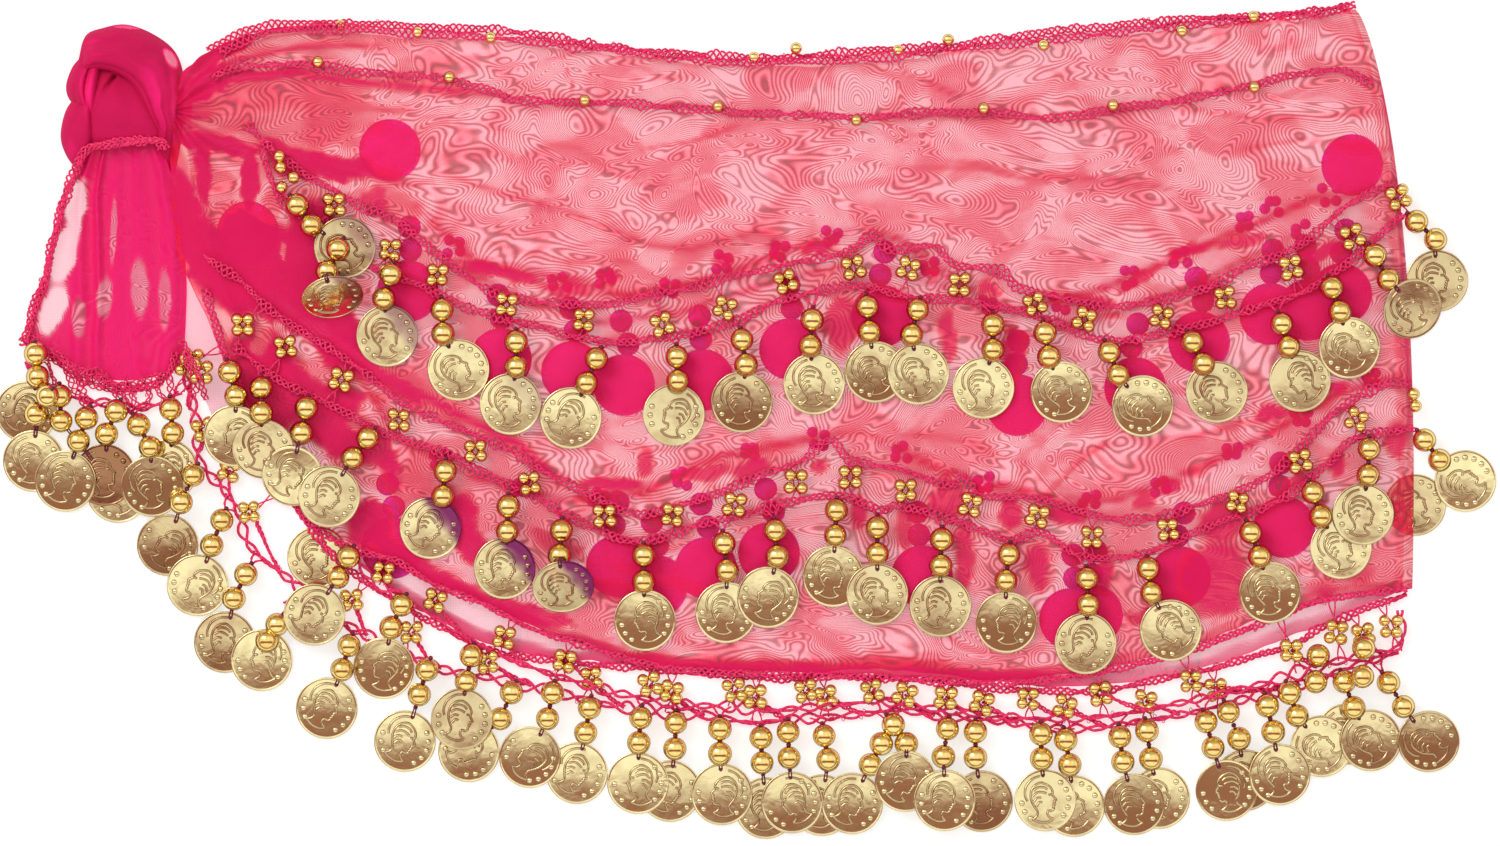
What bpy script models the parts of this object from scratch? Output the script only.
"""Belly dance hip scarf laid flat: chiffon folded double, knotted at the left, with coin rows.

Metres, +Z up, floor at z = 0.  Positions in the tables are squares of a cutting-table grid:
x counted from the left edge of the table, y from its far edge toward the hem.
"""
import math

import bmesh
import bpy
import numpy as np

# ---- sizes (metres) -------------------------------------------------------------------------
MM = 0.001                    # one millimetre, for the table columns given in millimetres
GRID = 0.00032                # side of one square of the cutting-table grid
TABLE_MID_X = 748.57          # grid x of the part's centre line
TABLE_MID_Y = 420.66          # grid y of the part's centre line
WALL = 0.0012                 # chiffon stretch, with the air between its threads
SEAM_GAP = 0.0003             # clear gap between touching pieces
FRONT_FLOOR = 0.0015          # underside of the front stretch above the floor
PLEAT_RISE = 0.0022           # rise of the gathers where the cloth enters the knot
KNOT_LIFT = 0.0050            # how far the cloth climbs toward the knot
KNOT_LIFT_FALL = 3            # power with which the climb dies away from the knot
GATHER_END = 0.26             # share of the length over which the gathers run out
ROWS_DOWN = 16                # quads from top edge to hem on the front stretch
FRONT_STEPS = 3               # quads between two rows of the front table
BACK_STEPS = 2                # quads between two rows of the back table
BACK_ROWS = 4                 # quads from top edge to hem on the back stretch
FOLD_INSET = 0.0014           # depth of the turned fold at the right end
FOLD_STEP = 0.0001            # run in which the turned fold drops to the floor
FOLD_TOP = 0.0021             # height of the turned fold's shoulder
FOLD_LIP = 0.0011             # height of the turned fold's outermost line
TRIM_WIDTH = 0.0016           # crochet chain
TRIM_HEIGHT = 0.0010
TRIM_START = 2                # section of the stretch where its edge trim comes out of the knot
NET_CHAIN = 0.0016            # chain band of a crochet net
NET_LINK = 0.0030             # bead cluster that joins the two chains
BACKING_HALF = 0.0006         # half width and half height of the cord that carries the dangles
THREAD_TESTS = (0.45, 0.65, 0.85)  # where a thread is tested against what it crosses
CORD_REST = 0.0030            # heights below this never touch a thread
CORD_MARGIN = 0.2             # clear share of the cord's width kept on its open side
STRAND_HALF = 0.0006          # half thickness of a thread
BEAD_RADIUS = 0.0035
BEAD_SHOULDER = 0.46          # half height of a bead's band as a share of its radius
BEAD_BAND = 0.97              # radius of a bead's band as a share of its radius
ROOT_REACH = 0.0018           # thread between the cord and the first bead
COIN_RADIUS = 0.0099
COIN_THICK = 0.0008
COIN_SIDES = 10
COIN_MOUTH = 0.97             # reach of the rim where the thread enters, as a share of the radius
RING = 6                      # points in a ring round a thread or a bead
BUNDLE_STEPS = 2              # rings between two rows of a bundle's table
BUNDLE_FOLDS = 5              # soft folds round a bundle
BUNDLE_FOLD_DEPTH = 0.10      # their depth as a share of the bundle's radius
BUNDLE_TWIST = 0.35           # how far they turn from one ring to the next, in radians
LOOP_SIDES = 16               # points in a ring of the knot's loop
CORE_SIDES = 14               # points in a ring of the knot's bunched cloth
TAIL_STEPS = 2                # quads between two rows of the tail's table
TAIL_PLEATS = 12              # quads across the tail, by turns low and high
TAIL_BELLY = 26               # bulge of the tail's lower edge between its corners, in squares
TAIL_BELLY_RISE = 3           # power with which the bulge grows toward the lower edge
LAY_CELL = 0.0005             # cell of the record of heights already laid
LAY_SAMPLES = 1.5             # samples to a cell when a sheet is recorded
LAY_HALF_X = 0.26
LAY_HALF_Y = 0.16
LAY_CLEAR = 0.0005            # clear gap under a dangle
LEAST_LIFT = 0.0004           # beads and coins end just above the floor

# ---- tables (grid squares) --------------------------------------------------------------------
# one row per section of the front stretch: top x, top y, hem x, hem y, sideways bow
FRONT_SECTIONS = [
    (189, 76, 186, 150, 0),
    (213, 54, 192, 235, 0),
    (255, 34, 222, 320, 0),
    (320, 27, 256, 425, -4),
    (400, 31, 330, 530, -4),
    (500, 35, 470, 598, 0),
    (600, 49, 596, 650, 0),
    (700, 59, 700, 670, 0),
    (800, 62, 800, 672, 0),
    (900, 52, 900, 676, 0),
    (1000, 50, 1000, 680, 0),
    (1100, 38, 1100, 668, 4),
    (1200, 28, 1200, 642, 8),
    (1290, 18, 1300, 604, 16),
    (1355, 9, 1412, 588, 26),
]
# one row per section of the back stretch: top x, top y, hem x, hem y, sideways bow
BACK_SECTIONS = [
    (191, 82, 188, 146, 0),
    (222, 58, 200, 235, 0),
    (262, 39, 232, 320, 0),
    (322, 33, 268, 425, -4),
    (400, 37, 338, 545, -4),
    (500, 42, 478, 640, 0),
    (600, 54, 598, 662, 0),
    (750, 66, 750, 672, 0),
    (900, 60, 900, 670, 0),
    (1000, 43, 1000, 682, 0),
    (1100, 32, 1100, 686, 4),
    (1200, 22, 1200, 668, 8),
    (1285, 21, 1296, 634, 16),
    (1349, 12, 1402, 590, 26),
]
# one row per crease: start x, start y, end x, end y, rise in millimetres, half width in squares
CREASES = [
    (440, 150, 640, 222, 1.6, 14),
    (640, 222, 800, 232, 1.2, 14),
    (440, 112, 700, 190, 1.2, 12),
    (960, 160, 1200, 195, 1.3, 14),
    (390, 372, 560, 478, 1.4, 14),
    (895, 68, 960, 96, 0.9, 10),
    (200, 150, 420, 190, 1.2, 12),
]
# second chain below the top edge of the front stretch: x, y
SECOND_TRIM = [
    (216, 78), (262, 68), (300, 66), (350, 72), (400, 76), (450, 80), (500, 95), (620, 104),
    (740, 113), (860, 117), (960, 113), (1060, 118), (1100, 112), (1180, 100), (1240, 88),
    (1300, 75), (1364, 76),
]
# nets: one row per link, upper chain x, y and lower chain x, y
UPPER_NET = [
    (252, 132, 268, 160), (272, 160, 282, 196), (322, 186, 326, 226), (372, 216, 380, 262),
    (436, 250, 436, 290), (500, 288, 502, 314), (584, 300, 584, 332), (662, 296, 662, 334),
    (726, 280, 726, 322), (788, 266, 784, 298), (860, 246, 852, 284), (914, 244, 908, 290),
    (960, 266, 958, 296), (1034, 292, 1034, 316), (1094, 302, 1094, 334), (1160, 300, 1160, 330),
    (1228, 278, 1224, 314), (1296, 248, 1292, 292), (1344, 208, 1350, 258), (1382, 188, 1390, 222),
]
MIDDLE_NET = [
    (216, 268, 240, 348), (262, 302, 280, 374), (318, 344, 330, 402), (376, 384, 388, 432),
    (452, 424, 456, 458), (516, 456, 514, 486), (600, 498, 600, 528), (666, 506, 668, 534),
    (736, 484, 736, 518), (798, 462, 800, 500), (846, 450, 850, 500), (904, 470, 906, 506),
    (974, 484, 972, 524), (1036, 500, 1038, 532), (1092, 514, 1092, 553), (1168, 514, 1168, 544),
    (1234, 490, 1236, 518), (1300, 450, 1298, 488), (1346, 408, 1350, 442), (1396, 386, 1400, 430),
]
HEM_NET_FRONT = [
    (380, 558, 374, 580), (430, 584, 420, 608), (480, 605, 472, 640), (530, 627, 524, 662),
    (585, 649, 580, 680), (640, 664, 640, 696), (700, 675, 700, 704), (790, 678, 790, 708),
    (880, 681, 880, 708), (960, 684, 960, 712), (1050, 681, 1050, 716), (1120, 670, 1122, 712),
    (1180, 654, 1184, 700), (1246, 629, 1250, 684), (1306, 609, 1316, 664), (1334, 607, 1340, 658),
]
HEM_NET_BACK = [
    (212, 312, 190, 384), (228, 352, 196, 450), (243, 400, 222, 492), (262, 446, 250, 548),
    (300, 508, 292, 582), (346, 568, 344, 622), (410, 608, 402, 652), (476, 646, 470, 684),
    (560, 661, 552, 694), (640, 670, 640, 710), (730, 677, 730, 720), (830, 678, 830, 718),
    (920, 679, 920, 716), (1010, 690, 1010, 724), (1090, 693, 1092, 728), (1160, 684, 1162, 718),
    (1230, 666, 1236, 704), (1300, 640, 1304, 684), (1346, 620, 1352, 668), (1392, 602, 1398, 652),
]
TAIL_NET = [
    (22, 344, 26, 366), (48, 356, 46, 390), (76, 372, 74, 402), (104, 384, 104, 404),
    (132, 392, 134, 412), (160, 386, 164, 404),
]
# dangles: first bead x, y; second bead x, y; coin x, y
UPPER_DANGLES = [
    (299, 206, 313, 226, 346, 248), (340, 250, 329, 272, 335, 300), (392, 275, 385, 299, 388, 336),
    (443, 310, 444, 334, 459, 370), (517, 342, 517, 367, 511, 404), (597, 359, 587, 383, 571, 418),
    (677, 357, 678, 381, 674, 415), (742, 340, 746, 365, 742, 402), (812, 320, 810, 346, 814, 384),
    (867, 307, 869, 332, 875, 372), (917, 310, 911, 335, 918, 374), (992, 325, 992, 350, 983, 388),
    (1044, 333, 1048, 357, 1061, 392), (1108, 352, 1117, 375, 1142, 406),
    (1191, 342, 1202, 364, 1216, 392), (1280, 324, 1287, 347, 1299, 381),
    (1330, 288, 1338, 312, 1348, 348), (1373, 256, 1386, 280, 1411, 309),
    (1415, 222, 1434, 240, 1437, 281),
]
MIDDLE_DANGLES = [
    (232, 372, 238, 396, 236, 436), (263, 388, 264, 413, 265, 451), (308, 408, 303, 433, 294, 476),
    (369, 438, 354, 458, 331, 496), (446, 471, 444, 496, 431, 528), (509, 506, 508, 531, 505, 568),
    (562, 530, 560, 555, 564, 590), (644, 555, 644, 581, 645, 620), (724, 543, 727, 570, 726, 612),
    (775, 530, 777, 556, 768, 597), (836, 510, 835, 535, 833, 576), (877, 527, 877, 553, 877, 594),
    (941, 539, 940, 565, 940, 606), (1008, 554, 1005, 580, 1006, 622),
    (1086, 578, 1087, 604, 1085, 643), (1147, 568, 1150, 592, 1170, 630),
    (1249, 532, 1258, 556, 1269, 592), (1311, 492, 1319, 516, 1340, 548),
    (1367, 449, 1366, 475, 1362, 514), (1423, 440, 1438, 460, 1465, 481),
]
HEM_FRONT_DANGLES = [
    (350, 556, 339, 577, 316, 612), (403, 604, 392, 627, 387, 669), (472, 655, 467, 681, 459, 718),
    (553, 692, 548, 718, 530, 757), (641, 717, 639, 742, 638, 783), (720, 728, 720, 753, 722, 794),
    (788, 731, 789, 757, 792, 802), (893, 724, 906, 745, 909, 782), (947, 728, 943, 756, 943, 798),
    (1040, 733, 1041, 758, 1045, 800), (1119, 736, 1122, 761, 1134, 804),
    (1205, 721, 1212, 747, 1225, 790), (1262, 706, 1269, 731, 1279, 774),
    (1387, 682, 1402, 706, 1428, 741),
]
HEM_BACK_DANGLES = [
    (195, 475, 183, 502, 168, 545), (223, 520, 213, 545, 198, 585), (247, 574, 235, 598, 225, 642),
    (273, 606, 266, 629, 258, 660), (350, 645, 343, 669, 327, 708), (430, 671, 422, 696, 405, 741),
    (514, 694, 501, 718, 470, 752), (590, 707, 586, 732, 577, 773), (676, 724, 675, 749, 670, 791),
    (761, 737, 762, 762, 766, 808), (824, 735, 828, 759, 822, 805), (880, 744, 868, 766, 852, 804),
    (975, 731, 975, 757, 982, 801), (1065, 739, 1069, 764, 1074, 806),
    (1146, 739, 1150, 763, 1160, 802), (1227, 712, 1238, 737, 1246, 779),
    (1288, 694, 1296, 717, 1320, 746), (1343, 682, 1352, 707, 1370, 740),
]
TAIL_DANGLES = [
    (38, 408, 38, 432, 32, 460), (62, 420, 64, 444, 66, 481), (86, 420, 88, 445, 104, 476),
    (112, 422, 112, 446, 118, 490), (138, 428, 150, 450, 154, 486), (174, 416, 174, 440, 166, 470),
]
# one row per section of the scarf end wrapped round the knot: x, y, half width, centre z and
# half height in millimetres
LOOP_SECTIONS = [
    (172, 150, 9, 6.3, 5.5),
    (170, 128, 15, 8.3, 7.8),
    (167, 102, 19, 9.6, 9.2),
    (159, 74, 22, 10.5, 10.0),
    (137, 54, 25, 10.8, 10.3),
    (110, 56, 23, 10.4, 9.8),
    (90, 75, 18, 9.4, 9.0),
    (83, 98, 15, 8.6, 8.2),
    (81, 122, 15, 8.2, 7.8),
    (81, 146, 15, 7.6, 7.0),
    (88, 162, 8, 6.0, 5.0),
]
# one row per section of the cloth bunched in the knot: x, y, half width, centre z, half height
CORE_SECTIONS = [
    (124, 84, 12, 7.0, 3.5),
    (123, 90, 20, 7.0, 5.4),
    (122, 104, 24, 7.0, 6.4),
    (123, 122, 27, 7.2, 6.8),
    (124, 138, 28, 7.0, 6.6),
    (125, 149, 25, 6.6, 5.6),
]
# one row per section of the scarf end that hangs out of the knot: left x, right x, y on the
# left, y on the right, underside height and pleat rise in millimetres
TAIL_SECTIONS = [
    (104, 160, 155, 152, 7.6, 1.6),
    (97, 168, 172, 166, 6.6, 2.2),
    (80, 176, 196, 188, 4.0, 2.6),
    (64, 180, 226, 216, 1.8, 2.6),
    (52, 182, 260, 248, 0.4, 2.2),
    (42, 184, 292, 286, 0.0, 1.8),
    (30, 186, 324, 322, 0.0, 1.4),
    (24, 184, 340, 366, 0.0, 1.0),
]
# one row per section of the second scarf end: left x, right x, y
BACK_TAIL_SECTIONS = [
    (191, 194, 270),
    (190, 204, 300),
    (188, 220, 330),
    (194, 231, 360),
    (206, 244, 395),
    (216, 250, 420),
]
# finishes: base colour, roughness, metallic
CHIFFON = ((0.86, 0.10, 0.25), 0.7, 0.0)
DEEP_CHIFFON = ((0.72, 0.03, 0.15), 0.7, 0.0)
THREAD = ((0.70, 0.04, 0.14), 0.8, 0.0)
GOLD = ((0.83, 0.66, 0.33), 0.3, 1.0)


def at(x, y, z=0.0):
    """Grid position to metres."""
    return np.array([(x - TABLE_MID_X) * GRID, (TABLE_MID_Y - y) * GRID, z])


def unit(vector):
    """The vector's direction, at length one."""
    return vector / np.linalg.norm(vector)


def neighbours(i, count):
    """Indices before and after one of a run, kept inside the run."""
    return max(i - 1, 0), min(i + 1, count - 1)


def half_gap(points, i):
    """Half the way from one point of a run to the farther of its neighbours."""
    return max(np.linalg.norm(points[k] - points[i]) / 2 for k in neighbours(i, len(points)))


def arch(share):
    """Zero at both ends of a run and one in the middle."""
    return 4 * share * (1 - share)


def finish(name, verts, faces, colour, rough, metal):
    """Make one closed solid with its own material, faces outward."""
    mesh = bpy.data.meshes.new(name)
    mesh.from_pydata([tuple(v) for v in verts], [], faces)
    work = bmesh.new()
    work.from_mesh(mesh)
    bmesh.ops.recalc_face_normals(work, faces=work.faces[:])
    bmesh.ops.triangulate(work, faces=work.faces[:])
    work.to_mesh(mesh)
    work.free()
    piece = bpy.data.objects.new(name, mesh)
    bpy.context.scene.collection.objects.link(piece)
    material = bpy.data.materials.new(name + "_mat")
    material.use_nodes = True
    shader = material.node_tree.nodes["Principled BSDF"]
    shader.inputs["Base Color"].default_value = (*colour, 1.0)
    shader.inputs["Roughness"].default_value = rough
    shader.inputs["Metallic"].default_value = metal
    mesh.materials.append(material)
    return piece


class Lay:
    """Heights of everything laid so far, so the next piece rests clear of it."""

    def __init__(self):
        self.nx = int(2 * LAY_HALF_X / LAY_CELL)
        self.ny = int(2 * LAY_HALF_Y / LAY_CELL)
        self.height = np.zeros((self.nx, self.ny))

    def window(self, x, y, reach):
        """Cells that hold a square round a point."""
        x0 = max(int((x - reach + LAY_HALF_X) / LAY_CELL), 0)
        x1 = min(int((x + reach + LAY_HALF_X) / LAY_CELL) + 1, self.nx)
        y0 = max(int((y - reach + LAY_HALF_Y) / LAY_CELL), 0)
        y1 = min(int((y + reach + LAY_HALF_Y) / LAY_CELL) + 1, self.ny)
        return x0, x1, y0, y1

    def cover(self, verts, faces):
        """Record a sheet: each cell under a four-sided face takes the face's height there."""
        for face in faces:
            a, b, c, d = (np.array(verts[i]) for i in face)
            longest = max(np.linalg.norm(b - a), np.linalg.norm(c - b), np.linalg.norm(d - c))
            count = max(int(longest / LAY_CELL * LAY_SAMPLES), 1) + 1
            s = np.linspace(0.0, 1.0, count)[:, None, None]
            t = np.linspace(0.0, 1.0, count)[None, :, None]
            pts = (1 - s) * (1 - t) * a + s * (1 - t) * b + s * t * c + (1 - s) * t * d
            ix = ((pts[:, :, 0] + LAY_HALF_X) / LAY_CELL).astype(int)
            iy = ((pts[:, :, 1] + LAY_HALF_Y) / LAY_CELL).astype(int)
            np.maximum.at(self.height, (ix, iy), pts[:, :, 2])

    def disc_cells(self, x, y, radius):
        """Window round a point, and which of its cells lie within the radius."""
        x0, x1, y0, y1 = self.window(x, y, radius)
        cx = (np.arange(x0, x1) + 0.5) * LAY_CELL - LAY_HALF_X
        cy = (np.arange(y0, y1) + 0.5) * LAY_CELL - LAY_HALF_Y
        inside = (cx[:, None] - x) ** 2 + (cy[None, :] - y) ** 2 <= radius ** 2
        return (slice(x0, x1), slice(y0, y1)), inside

    def top(self, x, y, radius):
        """Highest point already laid within a radius."""
        where, inside = self.disc_cells(x, y, radius)
        return float(self.height[where][inside].max())

    def cover_disc(self, x, y, radius, z):
        """Record a bead or a coin."""
        where, inside = self.disc_cells(x, y, radius)
        cells = self.height[where]
        cells[inside] = np.maximum(cells[inside], z)


def slab(lower, upper, keep=None):
    """Closed wall between two equal grids of points, with some cells left open."""
    rows, cols = lower.shape[:2]
    if keep is None:
        keep = np.ones((rows - 1, cols - 1), dtype=bool)
    index = {}
    verts = []

    def corner(side, i, j):
        key = (side, i, j)
        if key not in index:
            index[key] = len(verts)
            verts.append((lower if side == 0 else upper)[i, j])
        return index[key]

    faces = []
    for i in range(rows - 1):
        for j in range(cols - 1):
            if not keep[i, j]:
                continue
            ring = [(i, j), (i + 1, j), (i + 1, j + 1), (i, j + 1)]
            faces.append([corner(1, *p) for p in ring])
            faces.append([corner(0, *p) for p in reversed(ring)])
            beside = [(i, j - 1), (i + 1, j), (i, j + 1), (i - 1, j)]
            for k in range(4):
                bi, bj = beside[k]
                inside = 0 <= bi < rows - 1 and 0 <= bj < cols - 1 and keep[bi, bj]
                if inside:
                    continue
                a = ring[k]
                b = ring[(k + 1) % 4]
                faces.append([corner(0, *a), corner(0, *b), corner(1, *b), corner(1, *a)])
    return verts, faces


def spline(rows, steps):
    """Rows of a table drawn out smoothly, with a few steps between one row and the next."""
    table = np.array(rows, dtype=float)
    padded = np.vstack([2 * table[0] - table[1], table, 2 * table[-1] - table[-2]])
    out = []
    for i in range(1, len(table)):
        p0, p1, p2, p3 = padded[i - 1], padded[i], padded[i + 1], padded[i + 2]
        for k in range(steps):
            t = k / steps
            out.append(0.5 * (2 * p1 + (p2 - p0) * t + (2 * p0 - 5 * p1 + 4 * p2 - p3) * t ** 2
                              + (3 * p1 - p0 - 3 * p2 + p3) * t ** 3))
    out.append(table[-1])
    return np.array(out)


def crease_distance(x, y, row):
    """Distance in squares from a grid position to a crease line."""
    ax, ay, bx, by = row[:4]
    length = (bx - ax) ** 2 + (by - ay) ** 2
    share = ((x - ax) * (bx - ax) + (y - ay) * (by - ay)) / length
    share = min(max(share, 0.0), 1.0)
    return math.hypot(x - ax - share * (bx - ax), y - ay - share * (by - ay))


def crease_rise(x, y):
    """Rise of the creases at a grid position, in metres."""
    rise = 0.0
    for row in CREASES:
        away = crease_distance(x, y, row) / row[5]
        rise = max(rise, row[4] * MM * math.exp(-away * away))
    return rise


def section_point(section, v):
    """Grid position on a section at a share v of the way to the hem."""
    top_x, top_y, hem_x, hem_y, bow = section
    x = top_x + (hem_x - top_x) * v + bow * arch(v)
    return x, top_y + (hem_y - top_y) * v


def back_panel(lay):
    """Back stretch, flat on the floor."""
    sections = spline(BACK_SECTIONS, BACK_STEPS)
    lower = np.zeros((len(sections), BACK_ROWS + 1, 3))
    for i, section in enumerate(sections):
        for j in range(BACK_ROWS + 1):
            lower[i, j] = at(*section_point(section, j / BACK_ROWS))
    upper = lower + np.array([0.0, 0.0, WALL])
    verts, faces = slab(lower, upper)
    lay.cover(verts, faces)
    finish("back_panel", verts, faces, *CHIFFON)


def front_panel(lay):
    """Front stretch: gathers at the knot, creases, a fold turned to the floor at the right."""
    sections = spline(FRONT_SECTIONS, FRONT_STEPS)
    count = len(sections)
    lower = np.zeros((count + 2, ROWS_DOWN + 1, 3))
    upper = np.zeros_like(lower)
    for i, section in enumerate(sections):
        u = i / (count - 1)
        near = max(0.0, 1.0 - u / GATHER_END)
        for j in range(ROWS_DOWN + 1):
            x, y = section_point(section, j / ROWS_DOWN)
            pleat = PLEAT_RISE * near * (j % 2)
            z = FRONT_FLOOR + KNOT_LIFT * near ** KNOT_LIFT_FALL + pleat
            if 0 < j < ROWS_DOWN and i < count - 1:
                z += crease_rise(x, y)
            lower[i, j] = at(x, y, z)
            upper[i, j] = at(x, y, z + WALL)
    for j in range(ROWS_DOWN + 1):
        edge = lower[count - 1, j].copy()
        lower[count - 1, j, 0] = edge[0] - FOLD_INSET - FOLD_STEP
        upper[count - 1, j, 0] = lower[count - 1, j, 0]
        lower[count, j] = (edge[0] - FOLD_INSET, edge[1], 0.0)
        upper[count, j] = (edge[0] - FOLD_INSET / 2, edge[1], FOLD_TOP)
        lower[count + 1, j] = (edge[0] - FOLD_INSET / 4, edge[1], 0.0)
        upper[count + 1, j] = (edge[0], edge[1], FOLD_LIP)
    verts, faces = slab(lower, upper)
    lay.cover(verts, faces)
    finish("front_panel", verts, faces, *CHIFFON)


def second_trim(lay):
    """A narrow crochet chain laid on the front stretch."""
    points = np.array([at(x, y) for x, y in SECOND_TRIM])
    lower = np.zeros((len(points), 2, 3))
    for i, point in enumerate(points):
        before, after = neighbours(i, len(points))
        ahead = unit(points[after] - points[before])
        side = np.array([-ahead[1], ahead[0], 0.0]) * TRIM_WIDTH / 2
        z = lay.top(point[0], point[1], half_gap(points, i) + TRIM_WIDTH) + SEAM_GAP
        lower[i, 0] = point + side + (0, 0, z)
        lower[i, 1] = point - side + (0, 0, z)
    upper = lower + np.array([0.0, 0.0, TRIM_HEIGHT])
    verts, faces = slab(lower, upper)
    lay.cover(verts, faces)
    finish("second_trim", verts, faces, *THREAD)


def edge_trims(lay):
    """Crochet edging of the back stretch, then of the front stretch, outside their top edges."""
    offset = TRIM_WIDTH / 2 + LAY_CLEAR
    edges = (
        ("back_edge_trim", BACK_SECTIONS, BACK_STEPS, 0.0),
        ("front_edge_trim", FRONT_SECTIONS, FRONT_STEPS, FRONT_FLOOR),
    )
    for name, sections, steps, clear in edges:
        tops = [at(s[0], s[1]) for s in spline(sections, steps)[TRIM_START * steps:]]
        count = len(tops)
        lower = np.zeros((count, 2, 3))
        for i, point in enumerate(tops):
            before, after = neighbours(i, count)
            ahead = unit(tops[after] - tops[before])
            out = np.array([-ahead[1], ahead[0], 0.0])
            middle = point + out * offset + np.array([0.0, 0.0, clear])
            lower[i, 0] = middle + out * TRIM_WIDTH / 2
            lower[i, 1] = middle - out * TRIM_WIDTH / 2
        upper = lower + np.array([0.0, 0.0, TRIM_HEIGHT])
        verts, faces = slab(lower, upper)
        lay.cover(verts, faces)
        finish(name, verts, faces, *THREAD)


def net(lay, name, links):
    """Two chains joined by bead clusters; the gaps between the clusters are cut through."""
    stations = []
    for i, row in enumerate(links):
        upper_mid = at(row[0], row[1])
        lower_mid = at(row[2], row[3])
        before, after = neighbours(i, len(links))
        run = unit(at(*links[after][:2]) - at(*links[before][:2]))
        down = unit(lower_mid - upper_mid)
        for share in (-0.5, 0.5):
            shift = run * NET_LINK * share
            stations.append([
                upper_mid + shift,
                upper_mid + shift + down * NET_CHAIN,
                lower_mid + shift - down * NET_CHAIN,
                lower_mid + shift,
            ])
    lower = np.array(stations)
    count, across = lower.shape[:2]
    cells = np.ones((count - 1, across - 1), dtype=bool)
    cells[1::2, 1] = False
    raised = np.zeros((count, across))
    for i in range(count):
        for j in range(across):
            spot = lower[i, j]
            reach = half_gap(lower[:, j], i) + NET_CHAIN
            raised[i, j] = lay.top(spot[0], spot[1], reach) + LAY_CLEAR
    for i in range(count):
        for j in range(across):
            around = raised[max(i - 1, 0):i + 2, max(j - 1, 0):j + 2]
            lower[i, j, 2] = around.max()
    upper = lower + np.array([0.0, 0.0, TRIM_HEIGHT])
    verts, faces = slab(lower, upper, cells)
    lay.cover(verts, faces)
    finish(name, verts, faces, *THREAD)


def hexagon(centre, side, up, half_wide, half_high, rounded):
    """Six points round a thread, as a flat bar or a round ring."""
    if rounded:
        near = math.cos(math.pi / 6)
        pairs = [(-near, 0.5), (0, 1), (near, 0.5), (near, -0.5), (0, -1), (-near, -0.5)]
    else:
        pairs = [(-1, 1), (0, 1), (1, 1), (1, -1), (0, -1), (-1, -1)]
    return [centre + side * half_wide * a + up * half_high * b for a, b in pairs]


def join_rings(faces, first, second):
    """Wall between two rings of points."""
    for k in range(RING):
        nxt = (k + 1) % RING
        faces.append([first[k], first[nxt], second[nxt], second[k]])


def add_points(verts, points):
    """Add points and give their numbers."""
    start = len(verts)
    verts.extend(points)
    return list(range(start, start + len(points)))


def bead_rings(verts, faces, ring, centre, ahead, last):
    """Two rings of a bead's band, then a neck ring unless the thread goes on to the coin."""
    side = unit(np.array([ahead[1], -ahead[0], 0.0]))
    up = unit(np.cross(side, ahead))
    wide = BEAD_RADIUS * BEAD_BAND
    for share in (-BEAD_SHOULDER, BEAD_SHOULDER):
        middle = centre + ahead * BEAD_RADIUS * share
        new = add_points(verts, hexagon(middle, side, up, wide, wide, True))
        join_rings(faces, ring, new)
        ring = new
    if not last:
        middle = centre + ahead * BEAD_RADIUS
        new = add_points(verts, hexagon(middle, side, up, STRAND_HALF, STRAND_HALF, True))
        join_rings(faces, ring, new)
        ring = new
    return ring


def coin(verts, faces, ring, centre, ahead):
    """Coin disc whose rim point nearest the beads opens into the thread."""
    flat = unit(np.array([ahead[0], ahead[1], 0.0]))
    side = np.array([flat[1], -flat[0], 0.0])
    half = np.array([0.0, 0.0, COIN_THICK / 2])
    mouth = centre - flat * COIN_RADIUS * COIN_MOUTH
    rim = [mouth - side * STRAND_HALF, mouth, mouth + side * STRAND_HALF]
    for k in range(1, COIN_SIDES):
        turn = 2 * math.pi * k / COIN_SIDES
        back = flat * COIN_RADIUS * math.cos(turn)
        rim.append(centre - back + side * COIN_RADIUS * math.sin(turn))
    top = add_points(verts, [p + half for p in rim])
    low = add_points(verts, [p - half for p in rim])
    faces.append(top)
    faces.append(list(reversed(low)))
    count = len(rim)
    for k in range(2, count):
        nxt = (k + 1) % count
        faces.append([top[k], top[nxt], low[nxt], low[k]])
    join_rings(faces, ring, [top[0], top[1], top[2], low[2], low[1], low[0]])


def dangle_marks(rows):
    """Root, both beads and coin of each dangle, in metres on the table."""
    marks = []
    for row in rows:
        first, second, last = at(*row[0:2]), at(*row[2:4]), at(*row[4:6])
        away = unit(second - first)
        marks.append((first - away * (BEAD_RADIUS + ROOT_REACH), first, second, last))
    return marks


def cord_bases(lay, rows):
    """Lay a cord through the roots of its dangles; gives its underside at each root."""
    roots = [m[0] for m in dangle_marks(rows)]
    count = len(roots)
    bases = []
    for i, root in enumerate(roots):
        reach = half_gap(roots, i) + 2 * BACKING_HALF
        bases.append(lay.top(root[0], root[1], reach) + SEAM_GAP)
    for i in range(count - 1):
        run = unit(roots[i + 1] - roots[i])
        wide = np.array([-run[1], run[0], 0.0]) * 2 * BACKING_HALF
        edge = wide * CORD_MARGIN
        ends = []
        for k in (i, i + 1):
            ends.append(roots[k] + np.array([0.0, 0.0, bases[k] + 2 * BACKING_HALF]))
        cord = [ends[0] + wide, ends[1] + wide, ends[1] - edge, ends[0] - edge]
        lay.cover(cord, [[0, 1, 2, 3]])
    return bases


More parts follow.
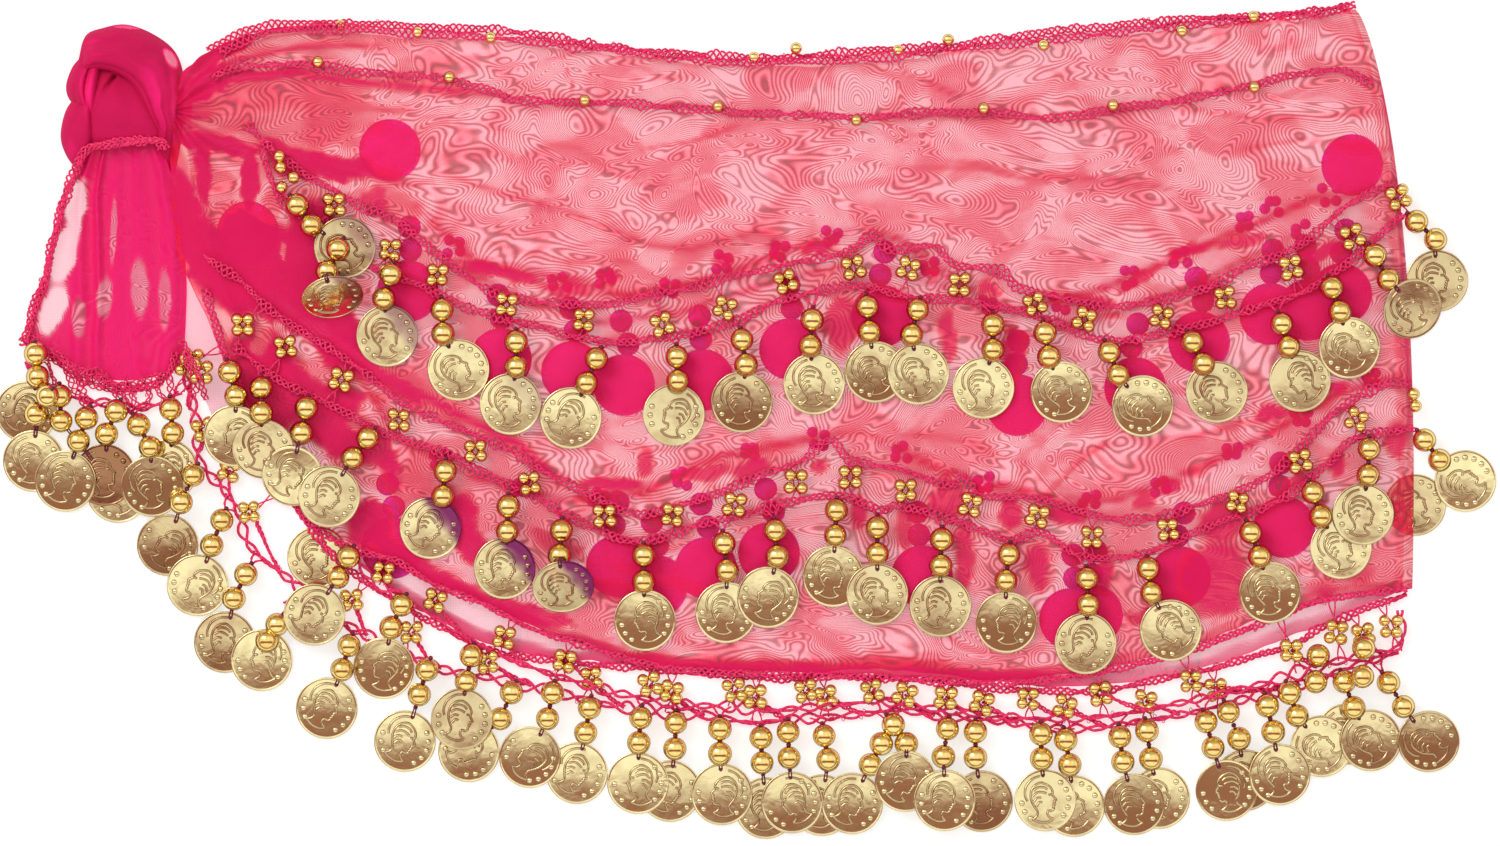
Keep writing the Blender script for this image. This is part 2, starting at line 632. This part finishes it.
def thread_clear(lay, root, spot):
    """Least height of the first bead that keeps its thread above what it crosses."""
    least = 0.0
    for share in THREAD_TESTS:
        x = root[0] + (spot[0] - root[0]) * share
        y = root[1] + (spot[1] - root[1]) * share
        need = lay.top(x, y, 2 * STRAND_HALF) + 2 * STRAND_HALF + SEAM_GAP
        if need > root[2]:
            least = max(least, root[2] + (need - root[2]) / share)
        elif need > LAY_CLEAR + CORD_REST:
            least = max(least, root[2] - (root[2] - need) / share)
    return least


def fringe(lay, name, rows, bases):
    """A cord with dangles: each is a thread, two beads and a coin, rooted in the cord."""
    marks = dangle_marks(rows)
    roots = [m[0] for m in marks]
    count = len(roots)
    verts = []
    faces = []
    previous = None
    for i, (root, first, second, last) in enumerate(marks):
        before, after = neighbours(i, count)
        run = unit(roots[after] - roots[before])
        down = np.array([run[1], -run[0], 0.0])
        middle = np.array([root[0], root[1], bases[i] + BACKING_HALF])
        up = np.array([0.0, 0.0, 1.0])
        outer = add_points(verts, hexagon(middle, run * -1, up, STRAND_HALF, BACKING_HALF, False))
        inner_mid = middle - down * 2 * BACKING_HALF
        inner = add_points(verts, hexagon(inner_mid, run * -1, up, STRAND_HALF, BACKING_HALF, False))
        # around the root the cord is a box open only toward the thread
        faces.append([outer[0], outer[1], inner[1], inner[0]])
        faces.append([outer[1], outer[2], inner[2], inner[1]])
        faces.append([outer[4], outer[3], inner[3], inner[4]])
        faces.append([outer[5], outer[4], inner[4], inner[5]])
        faces.append([inner[0], inner[1], inner[4], inner[5]])
        faces.append([inner[1], inner[2], inner[3], inner[4]])
        # vertices 2 and 3 lie on the side toward the previous root, 0 and 5 toward the next
        if previous is None:
            faces.append([outer[2], inner[2], inner[3], outer[3]])
        else:
            po, pi = previous
            faces.append([po[0], outer[2], inner[2], pi[0]])
            faces.append([po[5], outer[3], inner[3], pi[5]])
            faces.append([pi[0], inner[2], inner[3], pi[5]])
            faces.append([po[0], outer[2], outer[3], po[5]])
        previous = (outer, inner)
        if i == count - 1:
            faces.append([outer[0], inner[0], inner[5], outer[5]])
        beads = []
        for spot in (first, second):
            below = lay.top(spot[0], spot[1], BEAD_RADIUS + SEAM_GAP)
            z = max(below + LAY_CLEAR, LEAST_LIFT) + BEAD_RADIUS
            if not beads:
                z = max(z, thread_clear(lay, middle, spot))
            beads.append(np.array([spot[0], spot[1], z]))
        below = lay.top(last[0], last[1], COIN_RADIUS + SEAM_GAP)
        z = max(below + LAY_CLEAR, LEAST_LIFT) + COIN_THICK / 2
        disc = np.array([last[0], last[1], z])
        ring = bead_rings(verts, faces, outer, beads[0], unit(beads[1] - beads[0]), False)
        to_coin = unit(disc - beads[1])
        ring = bead_rings(verts, faces, ring, beads[1], to_coin, True)
        coin(verts, faces, ring, disc, to_coin)
        for bead in beads:
            lay.cover_disc(bead[0], bead[1], BEAD_RADIUS, bead[2] + BEAD_RADIUS)
        lay.cover_disc(disc[0], disc[1], COIN_RADIUS, disc[2] + COIN_THICK / 2)
    finish(name, verts, faces, *GOLD)


def bundle(name, sections, sides):
    """A closed bundle of cloth: oval sections along a path, softly ridged."""
    rows = spline(sections, BUNDLE_STEPS)
    count = len(rows)
    verts = []
    faces = []
    for i, (x, y, half, mid_z, half_z) in enumerate(rows):
        before, after = neighbours(i, count)
        run = unit(at(*rows[after][:2]) - at(*rows[before][:2]))
        side = np.array([run[1], -run[0], 0.0])
        for k in range(sides):
            turn = 2 * math.pi * k / sides
            fold = (1 + math.cos(BUNDLE_FOLDS * turn + i * BUNDLE_TWIST)) / 2
            ridge = 1.0 - BUNDLE_FOLD_DEPTH * fold
            wide = half * GRID * math.cos(turn) * ridge
            high = half_z * MM * math.sin(turn) * ridge
            verts.append(at(x, y, mid_z * MM + high) + side * wide)
    for i in range(count - 1):
        for k in range(sides):
            nxt = (k + 1) % sides
            faces.append([i * sides + k, i * sides + nxt, (i + 1) * sides + nxt,
                          (i + 1) * sides + k])
    faces.append(list(range(sides)))
    faces.append(list(reversed(range((count - 1) * sides, count * sides))))
    finish(name, verts, faces, *DEEP_CHIFFON)


def tail(lay):
    """Pleated scarf end that falls from the knot to the floor."""
    rows = spline(TAIL_SECTIONS, TAIL_STEPS)
    count = len(rows)
    lower = np.zeros((count, TAIL_PLEATS + 1, 3))
    for i, (left, right, left_y, right_y, under, rise) in enumerate(rows):
        for j in range(TAIL_PLEATS + 1):
            w = j / TAIL_PLEATS
            belly = TAIL_BELLY * (i / (count - 1)) ** TAIL_BELLY_RISE * arch(w)
            y = left_y + (right_y - left_y) * w + belly
            z = max(under, 0.0) * MM + rise * MM * (j % 2)
            lower[i, j] = at(left + (right - left) * w, y, z)
    upper = lower + np.array([0.0, 0.0, WALL])
    verts, faces = slab(lower, upper)
    lay.cover(verts, faces)
    finish("tail", verts, faces, *DEEP_CHIFFON)


def back_tail(lay):
    """Second scarf end, flat on the floor below the knot."""
    lower = np.zeros((len(BACK_TAIL_SECTIONS), 2, 3))
    for i, (left, right, y) in enumerate(BACK_TAIL_SECTIONS):
        lower[i, 0] = at(left, y)
        lower[i, 1] = at(right, y)
    upper = lower + np.array([0.0, 0.0, WALL])
    verts, faces = slab(lower, upper)
    lay.cover(verts, faces)
    finish("back_tail", verts, faces, *CHIFFON)


def main():
    """Build every piece from the floor up, each resting clear of what is already laid."""
    for old in list(bpy.data.objects):
        bpy.data.objects.remove(old, do_unlink=True)
    lay = Lay()
    back_panel(lay)
    back_tail(lay)
    front_panel(lay)
    edge_trims(lay)
    bundle("knot_loop", LOOP_SECTIONS, LOOP_SIDES)
    bundle("knot_core", CORE_SECTIONS, CORE_SIDES)
    tail(lay)
    second_trim(lay)
    net(lay, "hem_net_back", HEM_NET_BACK)
    net(lay, "hem_net_front", HEM_NET_FRONT)
    net(lay, "tail_net", TAIL_NET)
    net(lay, "middle_net", MIDDLE_NET)
    net(lay, "upper_net", UPPER_NET)
    fringes = (
        ("tail_coins", TAIL_DANGLES),
        ("hem_coins_back", HEM_BACK_DANGLES),
        ("hem_coins_front", HEM_FRONT_DANGLES),
        ("middle_coins", MIDDLE_DANGLES),
        ("upper_coins", UPPER_DANGLES),
    )
    for name, rows in fringes:
        fringe(lay, name, rows, cord_bases(lay, rows))


main()
